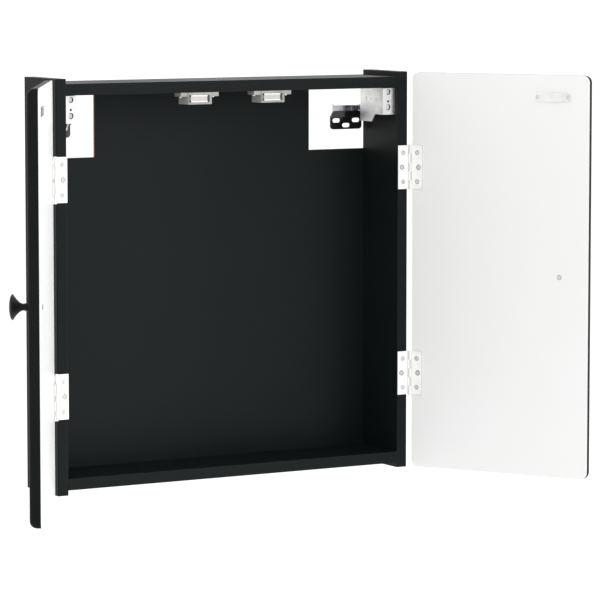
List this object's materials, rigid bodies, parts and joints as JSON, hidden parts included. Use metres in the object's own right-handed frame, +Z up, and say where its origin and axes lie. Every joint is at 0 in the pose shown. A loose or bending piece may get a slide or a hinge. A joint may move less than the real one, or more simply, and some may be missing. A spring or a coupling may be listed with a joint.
{
  "type": "medicine cabinet with mirror",
  "caption": "Shallow dark wall cabinet with mirrored swing doors standing open, butt hinges, black mushroom knobs, magnetic catches and adjustable hangers in the upper back corners.",
  "frame": {"origin": "centre of the back panel's rear face, in the plane of the wall", "axes": "+X to the right seen from the front, +Y into the wall, +Z up; stored with both doors open by 120 degrees"},
  "size_m": [0.9004, 0.3469, 0.575],
  "materials": {
    "carcass_board": "satin blue-black melamine on particle board",
    "door_board": "satin black foil, rounded edges",
    "back_board": "matte blue-black foil on thin fibreboard",
    "liner_white": "satin white sheet",
    "mirror_glass": "polished silvered glass",
    "foam_tape": "matte foam tape",
    "hinge_steel": "bright nickel-plated steel",
    "screw_steel": "bright zinc-plated steel",
    "knob_black": "polished black",
    "strike_steel": "satin plated steel",
    "catch_plastic": "moulded light grey plastic",
    "magnet_ferrite": "matte pinkish-grey ferrite",
    "pole_steel": "bright steel",
    "hanger_steel": "zinc-plated sheet steel",
    "hook_steel": "bright bluish zinc plating",
    "cast_zinc": "rough cast zinc",
    "brass_wedge": "machined brass",
    "plate_black": "gloss black enamel on steel",
    "beech": "raw beech",
    "nail_steel": "dull steel wire"
  },
  "bodies": {
    "carcass": {"side_panel_left": "carcass_board", "side_panel_right": "carcass_board", "top_panel": "carcass_board", "bottom_panel": "carcass_board", "back_panel": "back_board", "panel_dowels": "beech", "cam_locks": "cast_zinc", "cam_bolts": "screw_steel", "back_panel_nails": "nail_steel", "cabinet_leaf_left_upper": "hinge_steel", "cabinet_leaf_left_lower": "hinge_steel", "cabinet_leaf_right_upper": "hinge_steel", "cabinet_leaf_right_lower": "hinge_steel", "hinge_pins": "hinge_steel", "cabinet_leaf_screws": "screw_steel", "catch_housing_left": "catch_plastic", "catch_housing_right": "catch_plastic", "catch_magnets": "magnet_ferrite", "catch_pole_plates": "pole_steel", "catch_screws": "screw_steel", "hanger_housing_left": "hanger_steel", "hanger_housing_right": "hanger_steel", "hanger_pegs": "screw_steel"},
    "door_left": {"door_panel_left": "door_board", "door_liner_left": "liner_white", "mirror_left": "mirror_glass", "mirror_tape_left": "foam_tape", "knob_left": "knob_black", "knob_screw_left": "screw_steel", "strike_plate_left": "strike_steel", "strike_screws_left": "screw_steel", "door_leaf_left_upper": "hinge_steel", "door_leaf_left_lower": "hinge_steel", "door_leaf_screws_left": "screw_steel"},
    "depth_screw_left": {"depth_screw_left": "screw_steel"},
    "carriage_left": {"carriage_left": "cast_zinc"},
    "height_screw_left": {"height_screw_left": "screw_steel"},
    "height_wedge_left": {"height_wedge_left": "brass_wedge"},
    "hook_left": {"hook_left": "hook_steel"},
    "wall_plate_left": {"wall_plate_left": "plate_black"},
    "door_right": {"door_panel_right": "door_board", "door_liner_right": "liner_white", "mirror_right": "mirror_glass", "mirror_tape_right": "foam_tape", "knob_right": "knob_black", "knob_screw_right": "screw_steel", "strike_plate_right": "strike_steel", "strike_screws_right": "screw_steel", "door_leaf_right_upper": "hinge_steel", "door_leaf_right_lower": "hinge_steel", "door_leaf_screws_right": "screw_steel"},
    "depth_screw_right": {"depth_screw_right": "screw_steel"},
    "carriage_right": {"carriage_right": "cast_zinc"},
    "height_screw_right": {"height_screw_right": "screw_steel"},
    "height_wedge_right": {"height_wedge_right": "brass_wedge"},
    "hook_right": {"hook_right": "hook_steel"},
    "wall_plate_right": {"wall_plate_right": "plate_black"}
  },
  "joints": [
    {"name": "door_right_hinge", "type": "hinge", "parent": "carcass", "child": "door_right", "pos_m": [0.2857, -0.1025, 0], "axis": [0, 0, 1], "range_deg": [-120, 60]},
    {"name": "door_left_hinge", "type": "hinge", "parent": "carcass", "child": "door_left", "pos_m": [-0.2857, -0.1025, 0], "axis": [0, 0, -1], "range_deg": [-120, 60]},
    {"name": "depth_screw_right_turn", "type": "hinge", "parent": "carcass", "child": "depth_screw_right", "pos_m": [0.2552, -0.0915, 0.2583], "axis": [0, 1, 0], "range_deg": [0, 2880]},
    {"name": "carriage_right_slide", "type": "slide", "parent": "carcass", "child": "carriage_right", "axis": [0, 1, 0], "range_m": [0, 0.008]},
    {"name": "height_screw_right_turn", "type": "hinge", "parent": "carriage_right", "child": "height_screw_right", "pos_m": [0.2552, -0.0915, 0.236], "axis": [0, 1, 0], "range_deg": [-1440, 1440]},
    {"name": "height_wedge_right_slide", "type": "slide", "parent": "carriage_right", "child": "height_wedge_right", "axis": [0, 1, 0], "range_m": [-0.004, 0.004]},
    {"name": "hook_right_lift", "type": "slide", "parent": "carriage_right", "child": "hook_right", "axis": [0, 0, 1], "range_m": [-0.004, 0.004]},
    {"name": "wall_plate_right_lift_off", "type": "slide", "parent": "hook_right", "child": "wall_plate_right", "axis": [0, 0, -1], "range_m": [0, 0.016]},
    {"name": "depth_screw_left_turn", "type": "hinge", "parent": "carcass", "child": "depth_screw_left", "pos_m": [-0.2552, -0.0915, 0.2583], "axis": [0, 1, 0], "range_deg": [0, 2880]},
    {"name": "carriage_left_slide", "type": "slide", "parent": "carcass", "child": "carriage_left", "axis": [0, 1, 0], "range_m": [0, 0.008]},
    {"name": "height_screw_left_turn", "type": "hinge", "parent": "carriage_left", "child": "height_screw_left", "pos_m": [-0.2552, -0.0915, 0.236], "axis": [0, 1, 0], "range_deg": [-1440, 1440]},
    {"name": "height_wedge_left_slide", "type": "slide", "parent": "carriage_left", "child": "height_wedge_left", "axis": [0, 1, 0], "range_m": [-0.004, 0.004]},
    {"name": "hook_left_lift", "type": "slide", "parent": "carriage_left", "child": "hook_left", "axis": [0, 0, 1], "range_m": [-0.004, 0.004]},
    {"name": "wall_plate_left_lift_off", "type": "slide", "parent": "hook_left", "child": "wall_plate_left", "axis": [0, 0, -1], "range_m": [0, 0.016]}
  ],
  "couplings": [
    {"joint": "depth_screw_right_turn", "follows": "carriage_right_slide", "rad_per_m": 6283.2},
    {"joint": "height_screw_right_turn", "follows": "hook_right_lift", "rad_per_m": 6283.2},
    {"joint": "height_wedge_right_slide", "follows": "hook_right_lift", "ratio": -1},
    {"joint": "depth_screw_left_turn", "follows": "carriage_left_slide", "rad_per_m": 6283.2},
    {"joint": "height_screw_left_turn", "follows": "hook_left_lift", "rad_per_m": 6283.2},
    {"joint": "height_wedge_left_slide", "follows": "hook_left_lift", "ratio": -1}
  ]
}
